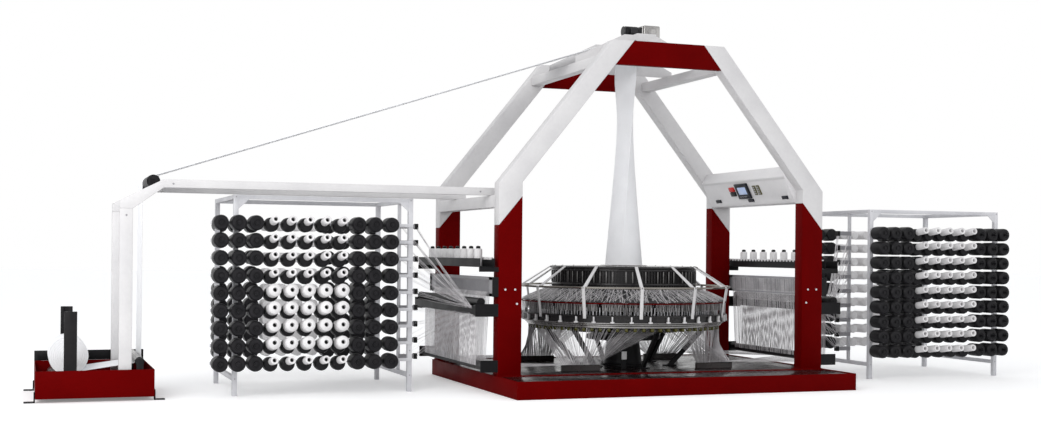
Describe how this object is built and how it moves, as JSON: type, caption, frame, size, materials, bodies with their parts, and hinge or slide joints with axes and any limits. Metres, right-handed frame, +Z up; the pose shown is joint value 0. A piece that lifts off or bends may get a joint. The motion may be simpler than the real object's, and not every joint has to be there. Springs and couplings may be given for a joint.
{
  "type": "circular loom",
  "caption": "Circular loom for woven tube: portal frame over a round reed head, bobbin creels on both sides, control box, and an arm that carries the flat web to a winder.",
  "frame": {"origin": "floor level under the middle of the loom's round head", "axes": "+X along the machine line from the winder to the far creel, +Y away from the front, +Z up"},
  "size_m": [10.479, 2.821, 3.811],
  "materials": {
    "maroon_paint": "dark red semi-gloss paint",
    "pale_paint": "pale grey-white semi-gloss paint",
    "black_paint": "black satin paint",
    "dark_deck": "dark glossy deck sheet",
    "creel_aluminium": "matt extruded aluminium",
    "bright_steel": "ground and polished steel",
    "guard_chrome": "polished bright ring",
    "reed_dark": "dark reed bars",
    "heald_plate": "dark heald plates with pale strips",
    "woven_fabric": "woven white plastic tape",
    "white_tape": "thin white plastic tapes",
    "black_bobbin": "black wound bobbins",
    "white_bobbin": "white wound bobbins",
    "grey_paint": "light grey paint",
    "box_grey": "pale grey folded sheet",
    "screen_black": "black moulded frame",
    "screen_blue": "light blue lit screen",
    "key_olive": "dark olive key strips",
    "button_red": "red button cap",
    "button_black": "black button cap",
    "motor_dark": "black motor with a silver gearbox"
  },
  "bodies": {
    "frame": {"arm_posts": "pale_paint", "arm_rails": "pale_paint", "base_plinth": "maroon_paint", "control_box": "box_grey", "creel_frame_left": "creel_aluminium", "creel_frame_right": "creel_aluminium", "dark_packages": "black_bobbin", "deck_plate": "dark_deck", "drum_cover": "reed_dark", "fabric_tube": "woven_fabric", "fabric_web": "woven_fabric", "feed_frame_left": "black_paint", "feed_frame_right": "black_paint", "feed_tapes": "white_tape", "frame_columns": "maroon_paint", "frame_legs": "pale_paint", "frame_ties": "pale_paint", "guard_brackets": "pale_paint", "guard_ring": "guard_chrome", "head_stand": "black_paint", "heald_housing": "bright_steel", "key_strips": "key_olive", "reed_drum": "reed_dark", "roller_bearings": "black_paint", "screen_frame": "screen_black", "screen_glass": "screen_blue", "takeup_cheeks": "pale_paint", "takeup_gearmotor": "motor_dark", "tape_combs": "grey_paint", "top_beams": "maroon_paint", "warp_fans": "white_tape", "weaving_ring": "bright_steel", "weft_spools": "white_bobbin", "white_packages": "white_bobbin", "winder_base": "maroon_paint", "winder_feet": "black_paint", "winder_guides": "black_paint", "window_posts": "pale_paint"},
    "rotor": {"shuttle_rotor": "bright_steel", "shuttles": "reed_dark"},
    "heald_set_even": {"healds_even": "heald_plate"},
    "heald_set_odd": {"healds_odd": "heald_plate"},
    "takeup": {"takeup_roller": "bright_steel"},
    "press": {"takeup_press_roller": "white_bobbin"},
    "arm_wheel": {"arm_roller": "black_paint"},
    "front_wheel": {"front_roller": "bright_steel"},
    "drive_left": {"drive_roller_left": "bright_steel"},
    "drive_right": {"drive_roller_right": "bright_steel"},
    "blocks": {"bearing_blocks": "bright_steel"},
    "roll": {"winding_shaft": "bright_steel", "fabric_roll": "woven_fabric"},
    "feed_left": {"feed_roller_left": "black_paint"},
    "feed_right": {"feed_roller_right": "black_paint"},
    "low_left": {"low_roller_left": "black_paint"},
    "low_right": {"low_roller_right": "black_paint"},
    "stop_cap": {"stop_button": "button_red"},
    "start_cap": {"start_button": "button_black"},
    "rocker_left": {"left_rocker": "screen_black"},
    "rocker_right": {"right_rocker": "screen_black"},
    "rocker_screen": {"screen_rocker": "screen_black"}
  },
  "joints": [
    {"name": "rotor_spin", "type": "hinge", "parent": "frame", "child": "rotor", "pos_m": [0, 0, 0.975], "axis": [0, 0, 1], "continuous": true},
    {"name": "heald_even_lift", "type": "slide", "parent": "frame", "child": "heald_set_even", "axis": [0, 0, 1], "range_m": [-0.028, 0.028]},
    {"name": "heald_odd_lift", "type": "slide", "parent": "frame", "child": "heald_set_odd", "axis": [0, 0, 1], "range_m": [-0.028, 0.028]},
    {"name": "roll_spin", "type": "hinge", "parent": "blocks", "child": "roll", "pos_m": [-5.69, 0, 0.372], "axis": [0, 1, 0], "continuous": true},
    {"name": "roll_rise", "type": "slide", "parent": "frame", "child": "blocks", "axis": [0, 0, 1], "range_m": [0, 0.35]},
    {"name": "takeup_spin", "type": "hinge", "parent": "frame", "child": "takeup", "pos_m": [-0.062, 0, 3.59], "axis": [0, 1, 0], "continuous": true},
    {"name": "press_spin", "type": "hinge", "parent": "frame", "child": "press", "pos_m": [0.062, 0, 3.59], "axis": [0, 1, 0], "continuous": true},
    {"name": "arm_roller_spin", "type": "hinge", "parent": "frame", "child": "arm_wheel", "pos_m": [-4.99, 0, 1.97], "axis": [0, 1, 0], "continuous": true},
    {"name": "front_roller_spin", "type": "hinge", "parent": "frame", "child": "front_wheel", "pos_m": [-5.0956, 0, 0.345], "axis": [0, 1, 0], "continuous": true},
    {"name": "drive_left_spin", "type": "hinge", "parent": "frame", "child": "drive_left", "pos_m": [-5.815, 0, 0.17863], "axis": [0, 1, 0], "continuous": true},
    {"name": "drive_right_spin", "type": "hinge", "parent": "frame", "child": "drive_right", "pos_m": [-5.565, 0, 0.17863], "axis": [0, 1, 0], "continuous": true},
    {"name": "feed_left_spin", "type": "hinge", "parent": "frame", "child": "feed_left", "pos_m": [-1.965, 0, 0.8803], "axis": [0, 1, 0], "continuous": true},
    {"name": "low_left_spin", "type": "hinge", "parent": "frame", "child": "low_left", "pos_m": [-1.915, 0, 0.262], "axis": [0, 1, 0], "continuous": true},
    {"name": "feed_right_spin", "type": "hinge", "parent": "frame", "child": "feed_right", "pos_m": [1.965, 0, 0.8803], "axis": [0, 1, 0], "continuous": true},
    {"name": "low_right_spin", "type": "hinge", "parent": "frame", "child": "low_right", "pos_m": [1.915, 0, 0.262], "axis": [0, 1, 0], "continuous": true},
    {"name": "stop_press", "type": "slide", "parent": "frame", "child": "stop_cap", "axis": [0.897, 0, 0.442], "range_m": [0, 0.006], "stiffness_N_per_m": 600},
    {"name": "start_press", "type": "slide", "parent": "frame", "child": "start_cap", "axis": [0.897, 0, 0.442], "range_m": [0, 0.006], "stiffness_N_per_m": 600},
    {"name": "left_rocker_tip", "type": "hinge", "parent": "frame", "child": "rocker_left", "pos_m": [1.53206, 0.69, 1.97835], "axis": [-0.442, 0, 0.897], "range_deg": [-6, 6]},
    {"name": "right_rocker_tip", "type": "hinge", "parent": "frame", "child": "rocker_right", "pos_m": [1.53383, -0.77, 1.97477], "axis": [-0.442, 0, 0.897], "range_deg": [-6, 6]},
    {"name": "screen_rocker_tip", "type": "hinge", "parent": "frame", "child": "rocker_screen", "pos_m": [1.53737, -0.05, 1.96759], "axis": [-0.442, 0, 0.897], "range_deg": [-6, 6]}
  ],
  "couplings": [
    {"joint": "takeup_spin", "follows": "roll_spin", "ratio": -3.0172},
    {"joint": "press_spin", "follows": "roll_spin", "ratio": 3.0172},
    {"joint": "arm_roller_spin", "follows": "roll_spin", "ratio": -2.9167},
    {"joint": "front_roller_spin", "follows": "roll_spin", "ratio": 4.1667},
    {"joint": "drive_left_spin", "follows": "roll_spin", "ratio": -3.1818},
    {"joint": "drive_right_spin", "follows": "roll_spin", "ratio": -3.1818},
    {"joint": "heald_odd_lift", "follows": "heald_even_lift", "ratio": -1},
    {"joint": "feed_left_spin", "follows": "low_left_spin", "ratio": -1.125},
    {"joint": "feed_right_spin", "follows": "low_right_spin", "ratio": -1.125}
  ]
}
